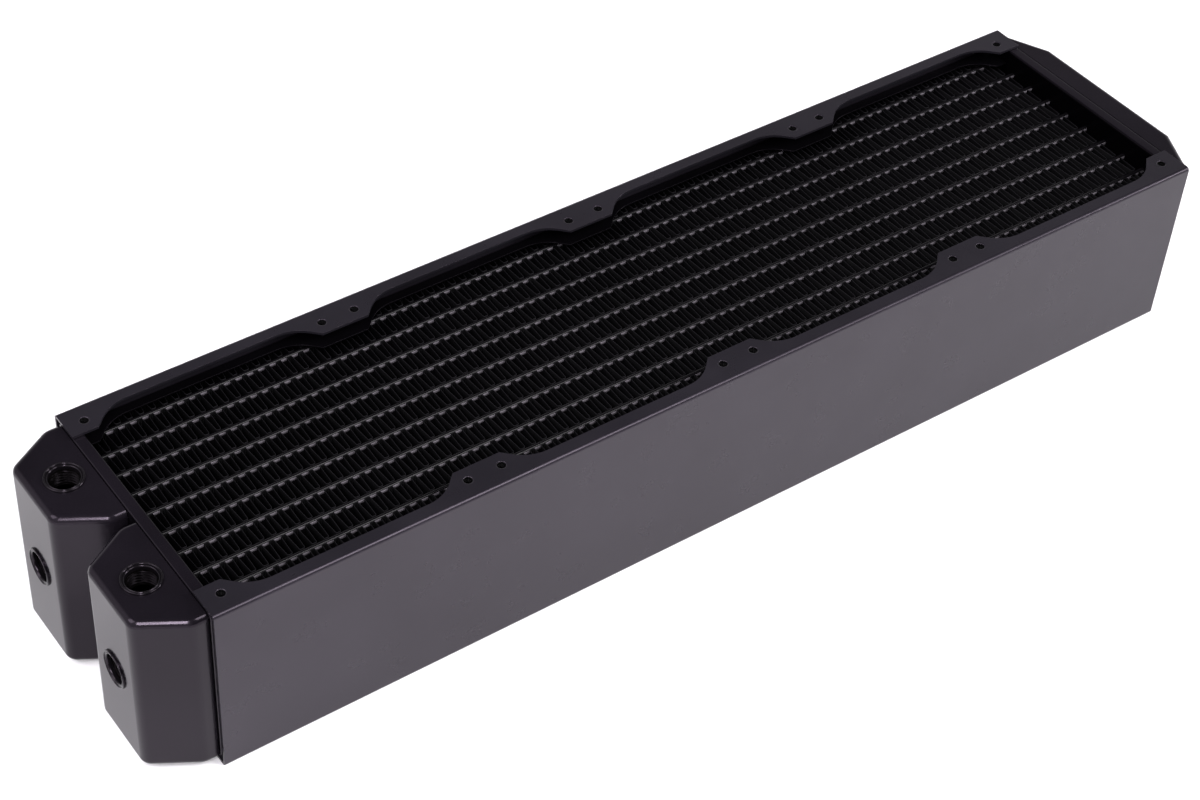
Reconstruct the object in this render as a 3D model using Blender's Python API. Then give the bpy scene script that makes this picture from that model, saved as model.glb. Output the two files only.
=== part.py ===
"""Liquid cooling radiator for a row of four 120 mm fans, as separate pieces.

Two folded steel side panels hold a core of flat tubes and folded fins between
two header trays. Two port tanks sit side by side on one header and a return
tank closes the other. Lengths are in metres, X runs along the radiator, Z is up,
and the origin is the middle of the bottom of the whole radiator's box.
"""

import math

import bmesh
import bpy
from mathutils import Vector

# Overall sizes, measured on the side panels
PANEL_LENGTH = 0.4810
PANEL_HEIGHT = 0.0830
PANEL_WIDTH = 0.1232

# Fan row
FAN_COUNT = 4
FAN_SIZE = 0.1200
FAN_HOLE_SPACING = 0.1050
SCREW_HOLE_RADIUS = 0.00165

# Folded side panels
SHEET = 0.0012
PANEL_BEND = 0.0015
TAB_EDGE = 0.0465               # the flange's inner edge at its tabs, from the middle
RAIL_EDGE = 0.0553              # the flange's inner edge beside a fan
WINDOW_HALF = 0.0495
WINDOW_SLOPE = 0.0035           # straight 45 degree start of the window's end
MEET_GAP = 0.0003               # clearance between pieces that touch

# Channels that close the core's long sides
CHANNEL_SHEET = 0.0008
CHANNEL_DEPTH = 0.0076          # from the panel's flange down to the channel's flange
CHANNEL_HALF_WIDTH = 0.0601
CHANNEL_BEND = 0.0011

# Core
TUBE_COUNT = 10
TUBE_PITCH = 0.0119
TUBE_THICKNESS = 0.0020
TUBE_WALL = 0.00035
CORE_RECESS = 0.0107            # from the flange down to the tubes' edge
TUBE_HALF_LENGTH = 0.2380
FIN_HALF_LENGTH = 0.2290
FIN_SHEET = 0.0003
FIN_RECESS = 0.0006             # fins end this far inside the tubes' edges
FIN_FOLD_PITCH = 0.01545        # every third fold of the real strip

# Header trays
HEADER_CORE_FACE = 0.2350       # face that looks at the fins, from the fan row's middle
HEADER_RIM = 0.2403
HEADER_HALF_WIDTH = 0.0588
HEADER_INSET = 0.0015           # below the flange's outer face
HEADER_CORNER = 0.0030

# Tanks
TANK_JOINT = 0.2408             # where a tank's body meets the tray's rim
TANK_LIP_END = 0.2365
TANK_INSET = 0.0018
TANK_WALL = 0.0024
TANK_LIP = 0.0010
TANK_EDGE_RADIUS = 0.0020
TANK_CORNER_RADIUS = 0.0030
TANK_SHOULDER_RADIUS = 0.0060
TANK_SHOULDER = 0.2470
PORT_TANK_END = 0.2664
PORT_TANK_MIDDLE = 0.03025
PORT_TANK_HALF = 0.02795
PORT_FACE_HALF = 0.0165
RETURN_TANK_HALF = 0.0582
RETURN_FACE_HALF = 0.0380
RETURN_SHOULDER = 0.2427
RETURN_TANK_END = 0.2516

# Threaded port inserts, G1/4
PORT_X = 0.2523
PORT_BORE = 0.0059
PORT_MOUTH = 0.0068
PORT_COLLAR = 0.0079
PORT_COLLAR_TOP = 0.0074
PORT_COLLAR_HEIGHT = 0.0010
PORT_BODY = 0.0072
PORT_DEPTH = 0.0090

# The fan row's middle, from the middle of the whole box
CORE_X = (PORT_TANK_END + PORT_COLLAR_HEIGHT - RETURN_TANK_END) / 2

# Facets
ARC_STEPS = 4
HOLE_SIDES = 10
PORT_SIDES = 20
SMOOTH_ANGLE = math.radians(35)

MATERIALS = {
    "panel_paint": ((0.030, 0.029, 0.032), 0.45, 0.30),
    "tank_paint": ((0.040, 0.038, 0.042), 0.38, 0.35),
    "core_black": ((0.012, 0.012, 0.013), 0.50, 0.40),
    "tube_black": ((0.030, 0.029, 0.031), 0.40, 0.50),
    "port_plating": ((0.050, 0.048, 0.052), 0.25, 0.85),
}


def clear_scene():
    """Start from an empty scene."""
    for item in list(bpy.data.objects):
        bpy.data.objects.remove(item, do_unlink=True)


def make_materials():
    """One Principled material for each finish."""
    made = {}
    for name, (colour, roughness, metallic) in MATERIALS.items():
        material = bpy.data.materials.new(name)
        material.use_nodes = True
        shader = material.node_tree.nodes["Principled BSDF"]
        shader.inputs["Base Color"].default_value = (*colour, 1.0)
        shader.inputs["Roughness"].default_value = roughness
        shader.inputs["Metallic"].default_value = metallic
        made[name] = material
    return made


def in_plan(u, v, height):
    """Outline in X and Y, extruded along Z."""
    return Vector((u, v, height))


def in_section(u, v, along):
    """Outline in Y and Z, extruded along X."""
    return Vector((along, u, v))


def rounded(corners, radii, steps=ARC_STEPS):
    """A polygon with each corner replaced by an arc of its radius."""
    outline = []
    count = len(corners)
    for index in range(count):
        corner = Vector(corners[index])
        radius = radii[index]
        if radius <= 0:
            outline.append(tuple(corner))
            continue
        back = (Vector(corners[index - 1]) - corner).normalized()
        ahead = (Vector(corners[(index + 1) % count]) - corner).normalized()
        half_angle = back.angle(ahead) / 2
        reach = radius / math.tan(half_angle)
        middle = corner + (back + ahead).normalized() * (radius / math.sin(half_angle))
        start = corner + back * reach - middle
        end = corner + ahead * reach - middle
        sweep = start.angle(end)
        for step in range(steps + 1):
            share = step / steps
            near = math.sin((1 - share) * sweep) / math.sin(sweep)
            far = math.sin(share * sweep) / math.sin(sweep)
            outline.append(tuple(middle + start * near + end * far))
    return outline


def inset(corners, distance):
    """A convex polygon with every side moved inwards by the distance."""
    moved = []
    count = len(corners)
    for index in range(count):
        here = Vector(corners[index])
        back = (here - Vector(corners[index - 1])).normalized()
        ahead = (Vector(corners[(index + 1) % count]) - here).normalized()
        inward_back = Vector((-back.y, back.x))
        inward_ahead = Vector((-ahead.y, ahead.x))
        bisector = (inward_back + inward_ahead).normalized()
        moved.append(tuple(here + bisector * (distance / bisector.dot(inward_back))))
    return moved


def circle(radius, sides, centre=(0.0, 0.0)):
    """Points of a circle, counter-clockwise."""
    turns = [2 * math.pi * index / sides for index in range(sides)]
    return [(centre[0] + radius * math.cos(a), centre[1] + radius * math.sin(a)) for a in turns]


def mirror_outline(outline):
    """The outline mirrored in its second coordinate, still counter-clockwise."""
    return [(u, -v) for u, v in reversed(outline)]


def add_loops(bm, loops, close_ends=True):
    """Skin a row of equal loops and cap the first and the last."""
    rows = [[bm.verts.new(point) for point in loop] for loop in loops]
    count = len(rows[0])
    pairs = list(zip(rows, rows[1:]))
    if not close_ends:
        pairs.append((rows[-1], rows[0]))
    for lower, upper in pairs:
        for index in range(count):
            after = (index + 1) % count
            bm.faces.new((lower[index], lower[after], upper[after], upper[index]))
    if close_ends:
        bm.faces.new(list(reversed(rows[0])))
        bm.faces.new(rows[-1])


def add_prism(bm, outline, low, high, axes):
    """Extrude a counter-clockwise outline from low to high."""
    add_loops(bm, [[axes(u, v, level) for u, v in outline] for level in (low, high)])


def finish(bm, name, material=None):
    """Turn the bmesh into a linked, smooth-shaded object."""
    bmesh.ops.recalc_face_normals(bm, faces=bm.faces)
    mesh = bpy.data.meshes.new(name)
    bm.to_mesh(mesh)
    bm.free()
    item = bpy.data.objects.new(name, mesh)
    bpy.context.scene.collection.objects.link(item)
    if material:
        dress(item, material)
    return item


def dress(item, material):
    """Give the object its material and smooth shading with sharp edges."""
    item.data.materials.clear()
    item.data.materials.append(material)
    item.data.shade_smooth()
    item.data.set_sharp_from_angle(angle=SMOOTH_ANGLE)


def combine(target, tool, operation):
    """Apply a Boolean of the tool to the target, then remove the tool."""
    modifier = target.modifiers.new("combine", "BOOLEAN")
    modifier.object = tool
    modifier.operation = operation
    modifier.solver = "EXACT"
    depsgraph = bpy.context.evaluated_depsgraph_get()
    result = bpy.data.meshes.new_from_object(target.evaluated_get(depsgraph))
    target.modifiers.clear()
    target.data = result
    bpy.data.objects.remove(tool, do_unlink=True)


def copy_of(source, name, parent, location=(0, 0, 0), turn=(0, 0, 0)):
    """Another object that shares the source's mesh."""
    item = bpy.data.objects.new(name, source.data)
    bpy.context.scene.collection.objects.link(item)
    place(item, parent, location, turn)
    return item


def place(item, parent, location=(0, 0, 0), turn=(0, 0, 0)):
    """Parent the object and set where it stands."""
    item.parent = parent
    item.location = location
    item.rotation_euler = turn


def fan_centres():
    """X of each fan, from the middle of the row."""
    return [(index - (FAN_COUNT - 1) / 2) * FAN_SIZE for index in range(FAN_COUNT)]


def window_outline(centre):
    """Plan of the flange's cut-out beside one fan, on the +Y side.

    Each end leaves the tab at 45 degrees, then runs into the rail on an arc.
    """
    overrun = 0.0025
    slope_end = TAB_EDGE + WINDOW_SLOPE
    radius = (RAIL_EDGE - slope_end) / (1 - math.cos(math.pi / 4))
    arc_start = WINDOW_HALF - WINDOW_SLOPE
    arc_middle = (arc_start - radius * math.sin(math.pi / 4), RAIL_EDGE - radius)
    right = [(WINDOW_HALF + overrun, TAB_EDGE - overrun)]
    steps = 2 * ARC_STEPS
    for step in range(steps + 1):
        turn = math.pi / 4 * (1 + step / steps)
        right.append((arc_middle[0] + radius * math.cos(turn), arc_middle[1] + radius * math.sin(turn)))
    left = [(-u, v) for u, v in reversed(right)]
    return [(centre + u, v) for u, v in right + left]


def channel_outline(half_width, low, high, sheet, bend):
    """Section of a C channel on the +Y side, open towards the middle."""
    outer = [(TAB_EDGE, low), (half_width, low), (half_width, high), (TAB_EDGE, high)]
    inner = [(TAB_EDGE, high - sheet), (half_width - sheet, high - sheet),
             (half_width - sheet, low + sheet), (TAB_EDGE, low + sheet)]
    inner_bend = bend - sheet
    outside = rounded(outer, (0, bend, bend, 0))
    inside = rounded(inner, (0, inner_bend, inner_bend, 0))
    return outside + inside


def folded_channel(name, half_length, half_width, depth, sheet, bend, with_screws):
    """A folded sheet channel with a window beside each fan."""
    low = depth
    high = PANEL_HEIGHT - depth
    bm = bmesh.new()
    section = channel_outline(half_width, low, high, sheet, bend)
    add_prism(bm, section, -half_length, half_length, in_section)
    channel = finish(bm, name)
    cuts = bmesh.new()
    for centre in fan_centres():
        add_prism(cuts, window_outline(centre), low - sheet, high + sheet, in_plan)
        if with_screws:
            for side in (-1, 1):
                spot = (centre + side * FAN_HOLE_SPACING / 2, FAN_HOLE_SPACING / 2)
                ring = circle(SCREW_HOLE_RADIUS, HOLE_SIDES, spot)
                add_prism(cuts, ring, low - sheet, high + sheet, in_plan)
    combine(channel, finish(cuts, name + "_cuts"), "DIFFERENCE")
    return channel


def build_sides(core, materials):
    """Outer side panels, and the channels that close the core behind them."""
    panel = folded_channel("side_panel_rear", PANEL_LENGTH / 2, PANEL_WIDTH / 2, 0.0,
                           SHEET, PANEL_BEND, True)
    dress(panel, materials["panel_paint"])
    place(panel, core)
    copy_of(panel, "side_panel_front", core, turn=(0, 0, math.pi))
    half_length = HEADER_CORE_FACE - MEET_GAP
    channel = folded_channel("core_channel_rear", half_length, CHANNEL_HALF_WIDTH, CHANNEL_DEPTH,
                             CHANNEL_SHEET, CHANNEL_BEND, False)
    dress(channel, materials["core_black"])
    place(channel, core)
    copy_of(channel, "core_channel_front", core, turn=(0, 0, math.pi))


def stadium(thickness, height, centre=(0.0, 0.0)):
    """Section of a flat tube: straight sides and half-round edges."""
    radius = thickness / 2
    straight = height / 2 - radius
    points = []
    for end, first in ((1, 0.0), (-1, math.pi)):
        for step in range(ARC_STEPS + 1):
            turn = first + math.pi * step / ARC_STEPS
            across = centre[0] + radius * math.cos(turn)
            points.append((across, centre[1] + end * straight + radius * math.sin(turn)))
    return points


def tube_places():
    """Y of each flat tube."""
    return [(index - (TUBE_COUNT - 1) / 2) * TUBE_PITCH for index in range(TUBE_COUNT)]


def build_tubes(core, materials):
    """Flat tubes, open at both ends, along the whole core."""
    height = PANEL_HEIGHT - 2 * CORE_RECESS
    outer = stadium(TUBE_THICKNESS, height)
    inner = stadium(TUBE_THICKNESS - 2 * TUBE_WALL, height - 2 * TUBE_WALL)
    reach = TUBE_HALF_LENGTH
    loops = []
    for outline, along in ((outer, -reach), (outer, reach), (inner, reach), (inner, -reach)):
        loops.append([in_section(u, v, along) for u, v in outline])
    bm = bmesh.new()
    add_loops(bm, loops, close_ends=False)
    first = finish(bm, "flat_tube_01", materials["tube_black"])
    for number, across in enumerate(tube_places(), start=1):
        spot = (0, across, PANEL_HEIGHT / 2)
        if number == 1:
            place(first, core, spot)
        else:
            copy_of(first, f"flat_tube_{number:02d}", core, spot)


def fin_mesh(name, width, material):
    """A fin strip folded to and fro across the given width."""
    folds = round(FIN_HALF_LENGTH * 2 / FIN_FOLD_PITCH) * 2
    step = FIN_HALF_LENGTH * 2 / folds
    rise = width
    half_cut = FIN_SHEET / 2 * math.hypot(step, rise) / step
    reach = width / 2 - half_cut
    far_side = []
    near_side = []
    for index in range(folds + 1):
        along = -FIN_HALF_LENGTH + index * step
        across = reach if index % 2 else -reach
        far_side.append((along, across + half_cut))
        near_side.append((along, across - half_cut))
    height = PANEL_HEIGHT - 2 * (CORE_RECESS + FIN_RECESS)
    rows = []
    bm = bmesh.new()
    for outline, level in ((near_side, -1), (far_side, -1), (far_side, 1), (near_side, 1)):
        rows.append([bm.verts.new((u, v, level * height / 2)) for u, v in outline])
    for index, row in enumerate(rows):
        after = rows[(index + 1) % len(rows)]
        for step_index in range(folds):
            bm.faces.new((row[step_index], row[step_index + 1], after[step_index + 1], after[step_index]))
    bm.faces.new([row[0] for row in rows])
    bm.faces.new([row[-1] for row in reversed(rows)])
    return finish(bm, name, material)


def build_fins(core, materials):
    """A folded strip in each gap between tubes, and a low one outside each end tube."""
    places = tube_places()
    full_width = TUBE_PITCH - TUBE_THICKNESS - 2 * MEET_GAP
    full = None
    for number, (low, high) in enumerate(zip(places, places[1:]), start=1):
        spot = (0, (low + high) / 2, PANEL_HEIGHT / 2)
        name = f"fin_strip_{number:02d}"
        if full is None:
            full = fin_mesh(name, full_width, materials["core_black"])
            place(full, core, spot)
        else:
            copy_of(full, name, core, spot)
    outer_low = places[-1] + TUBE_THICKNESS / 2 + MEET_GAP
    outer_high = CHANNEL_HALF_WIDTH - CHANNEL_SHEET - MEET_GAP
    spot = (outer_low + outer_high) / 2
    rear = fin_mesh("fin_strip_edge_rear", outer_high - outer_low, materials["core_black"])
    place(rear, core, (0, spot, PANEL_HEIGHT / 2))
    copy_of(rear, "fin_strip_edge_front", core, (0, -spot, PANEL_HEIGHT / 2))


def header_loop(shrink, along):
    """Rounded rectangle of the header tray, shrunk all round, at one X."""
    half = HEADER_HALF_WIDTH
    low = HEADER_INSET
    high = PANEL_HEIGHT - HEADER_INSET
    corners = inset([(-half, low), (half, low), (half, high), (-half, high)], shrink)
    corner = HEADER_CORNER - shrink
    return [in_section(u, v, along) for u, v in rounded(corners, (corner,) * 4)]


def build_headers(core, materials):
    """Shallow trays that the tubes pass through, with their rims towards the tanks."""
    face = HEADER_CORE_FACE
    tank_face = face + SHEET
    loops = [
        header_loop(SHEET, face),
        header_loop(SHEET * (1 - math.sin(math.pi / 4)), face + SHEET * (1 - math.cos(math.pi / 4))),
        header_loop(0.0, tank_face),
        header_loop(0.0, HEADER_RIM),
        header_loop(SHEET, HEADER_RIM),
        header_loop(SHEET, tank_face),
    ]
    bm = bmesh.new()
    add_loops(bm, loops)
    header = finish(bm, "header_return")
    slots = bmesh.new()
    height = PANEL_HEIGHT - 2 * CORE_RECESS + 2 * MEET_GAP
    for across in tube_places():
        slot = stadium(TUBE_THICKNESS + 2 * MEET_GAP, height, (across, PANEL_HEIGHT / 2))
        add_prism(slots, slot, face - SHEET, tank_face + SHEET, in_section)
    combine(header, finish(slots, "header_slots"), "DIFFERENCE")
    dress(header, materials["tank_paint"])
    place(header, core)
    copy_of(header, "header_ports", core, turn=(0, 0, math.pi))


def bevel_rims(bm, joint):
    """Round a tank body's upper and lower edges, except at its joint face."""
    edges = []
    for edge in bm.edges:
        start, end = (vert.co for vert in edge.verts)
        level = abs(start.z - end.z) < 1e-6
        at_joint = abs(start.x - joint) < 1e-6 and abs(end.x - joint) < 1e-6
        if level and not at_joint:
            edges.append(edge)
    bmesh.ops.bevel(bm, geom=edges, offset=TANK_EDGE_RADIUS, segments=3, profile=0.5, affect="EDGES")


def tank_shell(name, corners, radii, joint, opening):
    """A tank body with rounded rims, hollow, with a thin lip into the header tray.

    The corners run counter-clockwise in plan. The first and the last lie on the
    joint face, and opening points from the joint towards the header.
    """
    low = TANK_INSET
    high = PANEL_HEIGHT - TANK_INSET
    bm = bmesh.new()
    add_prism(bm, rounded(corners, radii), low, high, in_plan)
    bmesh.ops.recalc_face_normals(bm, faces=bm.faces)
    bevel_rims(bm, joint)
    tank = finish(bm, name)

    hollow = inset(corners, TANK_WALL)
    sides = sorted((hollow[0][1], hollow[-1][1]))
    lip_low = (sides[0] - TANK_LIP, low + TANK_WALL - TANK_LIP)
    lip_high = (sides[1] + TANK_LIP, high - TANK_WALL + TANK_LIP)
    lip_corners = [lip_low, (lip_high[0], lip_low[1]), lip_high, (lip_low[0], lip_high[1])]
    lip_end = math.copysign(TANK_LIP_END, joint)
    lip_start = joint - opening * TANK_WALL
    lip = bmesh.new()
    ends = sorted((lip_start, lip_end))
    add_prism(lip, rounded(lip_corners, (TANK_LIP,) * 4), ends[0], ends[1], in_section)
    combine(tank, finish(lip, name + "_lip"), "UNION")

    past_lip = lip_end + opening * TANK_LIP
    hollow[0] = (past_lip, hollow[0][1])
    hollow[-1] = (past_lip, hollow[-1][1])
    cavity = bmesh.new()
    add_prism(cavity, hollow, low + TANK_WALL, high - TANK_WALL, in_plan)
    combine(tank, finish(cavity, name + "_cavity"), "DIFFERENCE")
    return tank


def port_tank_corners():
    """Plan of the rear port tank: a straight neck, two sloping shoulders and a flat end."""
    outer = PORT_TANK_MIDDLE + PORT_TANK_HALF
    inner = PORT_TANK_MIDDLE - PORT_TANK_HALF
    face_outer = PORT_TANK_MIDDLE + PORT_FACE_HALF
    face_inner = PORT_TANK_MIDDLE - PORT_FACE_HALF
    return [(-TANK_JOINT, outer), (-TANK_SHOULDER, outer), (-PORT_TANK_END, face_outer),
            (-PORT_TANK_END, face_inner), (-TANK_SHOULDER, inner), (-TANK_JOINT, inner)]


def build_port_tanks(core, materials):
    """Two port tanks, mirror images, each with ports above, below and on its end."""
    radii = (0, TANK_SHOULDER_RADIUS, TANK_CORNER_RADIUS, TANK_CORNER_RADIUS, TANK_SHOULDER_RADIUS, 0)
    for name, side in (("port_tank_rear", 1), ("port_tank_front", -1)):
        corners = port_tank_corners()
        if side < 0:
            corners = mirror_outline(corners)
        tank = tank_shell(name, corners, radii, -TANK_JOINT, 1)
        middle = side * PORT_TANK_MIDDLE
        radius = PORT_BODY + MEET_GAP
        holes = bmesh.new()
        upright = circle(radius, PORT_SIDES, (-PORT_X, middle))
        through = TANK_WALL + TANK_INSET
        add_prism(holes, upright, PANEL_HEIGHT - through - SHEET, PANEL_HEIGHT, in_plan)
        add_prism(holes, upright, 0.0, through + SHEET, in_plan)
        level = circle(radius, PORT_SIDES, (middle, PANEL_HEIGHT / 2))
        end = -PORT_TANK_END
        add_prism(holes, level, end - SHEET, end + TANK_WALL + SHEET, in_section)
        combine(tank, finish(holes, name + "_holes"), "DIFFERENCE")
        dress(tank, materials["tank_paint"])
        place(tank, core)


def build_return_tank(core, materials):
    """The tank that turns the coolant round at the far end."""
    corners = [(TANK_JOINT, -RETURN_TANK_HALF), (RETURN_SHOULDER, -RETURN_TANK_HALF),
               (RETURN_TANK_END, -RETURN_FACE_HALF), (RETURN_TANK_END, RETURN_FACE_HALF),
               (RETURN_SHOULDER, RETURN_TANK_HALF), (TANK_JOINT, RETURN_TANK_HALF)]
    radii = (0, TANK_EDGE_RADIUS, TANK_CORNER_RADIUS, TANK_CORNER_RADIUS, TANK_EDGE_RADIUS, 0)
    tank = tank_shell("return_tank", corners, radii, TANK_JOINT, -1)
    dress(tank, materials["tank_paint"])
    place(tank, core)


def port_insert(name, material):
    """A threaded bush with its mouth towards +Z and its tank's face at Z = 0."""
    profile = [
        (PORT_BORE, -PORT_DEPTH), (PORT_BODY, -PORT_DEPTH), (PORT_BODY, MEET_GAP),
        (PORT_COLLAR, MEET_GAP), (PORT_COLLAR, PORT_COLLAR_HEIGHT / 2),
        (PORT_COLLAR_TOP, PORT_COLLAR_HEIGHT), (PORT_MOUTH, PORT_COLLAR_HEIGHT), (PORT_BORE, 0.0),
    ]
    bm = bmesh.new()
    loops = []
    for radius, level in profile:
        loops.append([in_plan(u, v, level) for u, v in circle(radius, PORT_SIDES)])
    add_loops(bm, loops, close_ends=False)
    return finish(bm, name, material)


def build_ports(core, materials):
    """Six threaded inserts: above, below and on the end of each port tank."""
    first = None
    for side_name, side in (("rear", 1), ("front", -1)):
        middle = side * PORT_TANK_MIDDLE
        seats = {
            "top": ((-PORT_X, middle, PANEL_HEIGHT - TANK_INSET), (0, 0, 0)),
            "bottom": ((-PORT_X, middle, TANK_INSET), (math.pi, 0, 0)),
            "end": ((-PORT_TANK_END, middle, PANEL_HEIGHT / 2), (0, -math.pi / 2, 0)),
        }
        for seat, (spot, turn) in seats.items():
            name = f"port_insert_{side_name}_{seat}"
            if first is None:
                first = port_insert(name, materials["port_plating"])
                place(first, core, spot, turn)
            else:
                copy_of(first, name, core, spot, turn)


def main():
    clear_scene()
    materials = make_materials()
    core = bpy.data.objects.new("fan_row_middle", None)
    bpy.context.scene.collection.objects.link(core)
    core.location = (CORE_X, 0, 0)
    build_sides(core, materials)
    build_tubes(core, materials)
    build_fins(core, materials)
    build_headers(core, materials)
    build_port_tanks(core, materials)
    build_return_tank(core, materials)
    build_ports(core, materials)


main()
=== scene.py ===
"""Looks of the liquid cooling radiator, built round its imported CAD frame.

Every piece is made in metres, in the frame's own place. The sizes below are the
small ones that the frame's boxes don't hold: sheets, bends, folds and threads.
"""

import math
import random

import bmesh
import bpy
from mathutils import Matrix, Vector


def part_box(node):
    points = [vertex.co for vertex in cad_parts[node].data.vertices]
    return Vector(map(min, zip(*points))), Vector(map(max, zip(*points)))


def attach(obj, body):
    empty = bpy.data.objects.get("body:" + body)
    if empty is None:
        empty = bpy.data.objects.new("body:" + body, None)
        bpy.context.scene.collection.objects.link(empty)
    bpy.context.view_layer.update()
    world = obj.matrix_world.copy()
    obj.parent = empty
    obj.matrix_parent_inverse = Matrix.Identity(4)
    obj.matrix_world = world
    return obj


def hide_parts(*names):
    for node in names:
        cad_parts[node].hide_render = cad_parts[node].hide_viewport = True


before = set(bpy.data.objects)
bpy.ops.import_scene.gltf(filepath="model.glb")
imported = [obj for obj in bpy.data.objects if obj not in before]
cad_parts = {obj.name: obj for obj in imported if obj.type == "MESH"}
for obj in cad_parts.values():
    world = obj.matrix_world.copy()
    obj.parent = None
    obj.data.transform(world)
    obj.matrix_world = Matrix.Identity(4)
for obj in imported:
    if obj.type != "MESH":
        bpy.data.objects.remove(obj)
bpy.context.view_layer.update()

# Fan row and the flanges' windows
FAN_COUNT = 4
FAN_PITCH = 0.1200
FAN_HOLE_SPACING = 0.1050
RAIL_EDGE = 0.0553              # the flange's inner edge beside a fan, from the middle
WINDOW_HALF = 0.0495
WINDOW_SLOPE = 0.0035           # straight 45 degree start of the window's end
WINDOW_OVERRUN = 0.0025

# Sheet metal
PANEL_SHEET = 0.0012
PANEL_BEND = 0.0017
CHANNEL_SHEET = 0.0008
CHANNEL_BEND = 0.0012
EDGE_EASE = 0.00022             # how far paint rounds a cut edge
SOFT_EDGE_ANGLE = math.radians(38)

# Pressed and tapped screw holes in the flanges
SCREW_MAJOR = 0.00160
SCREW_MINOR = 0.00132
SCREW_PITCH = 0.0006
SCREW_WALL = 0.00225            # outer radius of the collar below the sheet
SCREW_DEPTH = 0.0030
SCREW_LEAD = 0.0002             # from the collar's mouth down to its thread
SCREW_MOUTH = 0.00170           # inner radius of the collar's upper edge
SCREW_SHOULDER = 0.00084        # how deep in the sheet the collar's outside starts
HOLE_RADIUS = 0.00180           # hole in the sheet, which the collar fills
DIMPLE_RADIUS = 0.0025
DIMPLE_DEPTH = 0.00024
DIMPLE_START = 0.00006          # how far above the face the dimple's cutter turns inwards
DIMPLE_KNEE = (0.80, 0.45)      # share of its radius and of its depth where the dimple flattens

# Core
TUBE_WALL = 0.00035
FIN_FOLD_PITCH = 0.00515
FIN_SHEET = 0.00014
FIN_BEND = 0.00050
FIN_LEAN = 0.00026              # half of how far a wall slants between two tubes
FIN_SLACK = 0.00012             # how far a fold strays from its place
FIN_SWAY = 0.4                  # how far a fold's top sways, as a share of the slack
FIN_SWAYS = 36                  # number of different sways in one strip
FOLD_STEPS = 3                  # facets in one bend of a fin
FIN_EDGE = 0.00005              # from the tubes' edges to the fins' edges
FIN_REACH = 0.0030              # how far the fins run past the frame's fins at each end
TOUCH = 0.00002                 # what keeps touching meshes apart

# Header trays
TRAY_SHEET = 0.0012
TRAY_CORNER = 0.0030
TRAY_BEND = 0.0011
TRAY_LEAST_CORNER = 0.0004

# Tanks
TANK_WALL = 0.0024
TANK_LIP = 0.0010
JOINT_GAP = 0.0005              # from a tray's rim to its tank
TANK_RIM = 0.0030               # rounding of the upper and lower edges
TANK_EDGE = 0.0052              # upright edge beside an end face
TANK_SHOULDER_BEND = 0.0080
RETURN_BEND = 0.0040
LEAST_BEND = 0.0002
PORT_FACE_HALF = 0.0165
RETURN_FACE_HALF = 0.0380
TANK_SHOULDER = 0.0062          # straight neck between the joint and the shoulder
RETURN_SHOULDER = 0.0026
RETURN_SWELL = 0.0014           # how far the end face bulges past the frame's tank

# Threaded ports, G1/4
PORT_MAJOR = 0.00658
PORT_MINOR = 0.00580
PORT_PITCH = 0.001337
PORT_SEAT = 0.0072
PORT_DEPTH = 0.0090
COLLAR_DEPTH = 0.0012           # how far the collar reaches into the tank
COLLAR_FACE = (                 # radius and height of the collar's face, from the foot inwards
    (0.00792, 0.00002), (0.00792, 0.00050), (0.00786, 0.00068), (0.00772, 0.00081),
    (0.00752, 0.00086), (0.00736, 0.00083), (0.00724, 0.00074), (0.00716, 0.00060), (0.00710, 0.00046),
    (0.00676, 0.00040), (0.00669, 0.00048), (0.00658, 0.00056), (0.00646, 0.00057),
    (0.00634, 0.00050), (0.00622, 0.00036), (0.00610, 0.00010), (0.00604, -0.00030),
)

# Facets
ARC_STEPS = 8
HOLE_SIDES = 32
PORT_SIDES = 64
THREAD_ROWS = 8                 # rows of facets in one turn of a thread
THREAD_FADE = 6                 # a thread runs out over one part in this many, at each end

# Paint: tones are linear, noise scales are per metre, and a peel is its scale and strength
PAINT_CAST = (1.0, 0.85, 1.04)
CLOUD_SCALE = 22
GLOSS_SCALE = 75
GRAIN_SCALE = 2600
FLECK_SCALE = 5200
FLECK_TONE = (0.30, 0.29, 0.30)
PEEL_DEPTH = 0.00006
TANK_SPECULAR = 0.17
# Tray face round the tubes: near-black painted shade with its gloss cut, for the shade in the core's end
# recesses
TRAY_FACE_PAINTED_SHADE = (0.0006, 0.0005, 0.0007)
TRAY_FACE_SPECULAR = 0.02
TRAY_FACE_EDGE = 0.0002         # from a tray's face to where its painted shade gives way to the rim's glossy paint
TUBE_EDGE_TONE = (0.0036, 0.0032, 0.0039)
TUBE_CROWN = (0.00075, 0.00045)  # the dark crown fades between these depths below a tube's edge
TUBE_PAINTED_LIGHT_BAND = (0.0021, 0.0011)    # and the pale band of painted light, where the low key light reaches the tubes' sides, between these
# The fins' cut edges keep the paint's own black; the walls below them are near-black painted shade
FIN_CREST_TONE = (0.0075, 0.0070, 0.0082)
FIN_CREST = (0.00040, 0.00022)

# Camera, light and floor
CAMERA_PLACE = (-0.49024, -0.59019, 0.73566)
CAMERA_AIM = (-0.08777, -0.02134, 0.08300)
CAMERA_ROLL = math.radians(1.94)
CAMERA_LENS = 74.50
CAMERA_SHIFT = 0.0898
FLOOR_HALF = 6.0
FLOOR_TONES = ((0.86, 0.86, 0.87), (0.90, 0.90, 0.90))
FLOOR_ROUGHNESS = 0.7
LIGHT_CAST = (1.0, 0.97, 1.01)
LIGHT_HEIGHT = 0.05             # what the lights look at
BACK_TONE = (1.0, 0.98, 1.0)
CEILING_TONE = (0.06, 0.06, 0.066)
FRONT_TONE = (0.06, 0.06, 0.07)
LEFT_TONE = (0.95, 0.92, 0.96)


# ---------------------------------------------------------------- outlines


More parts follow.
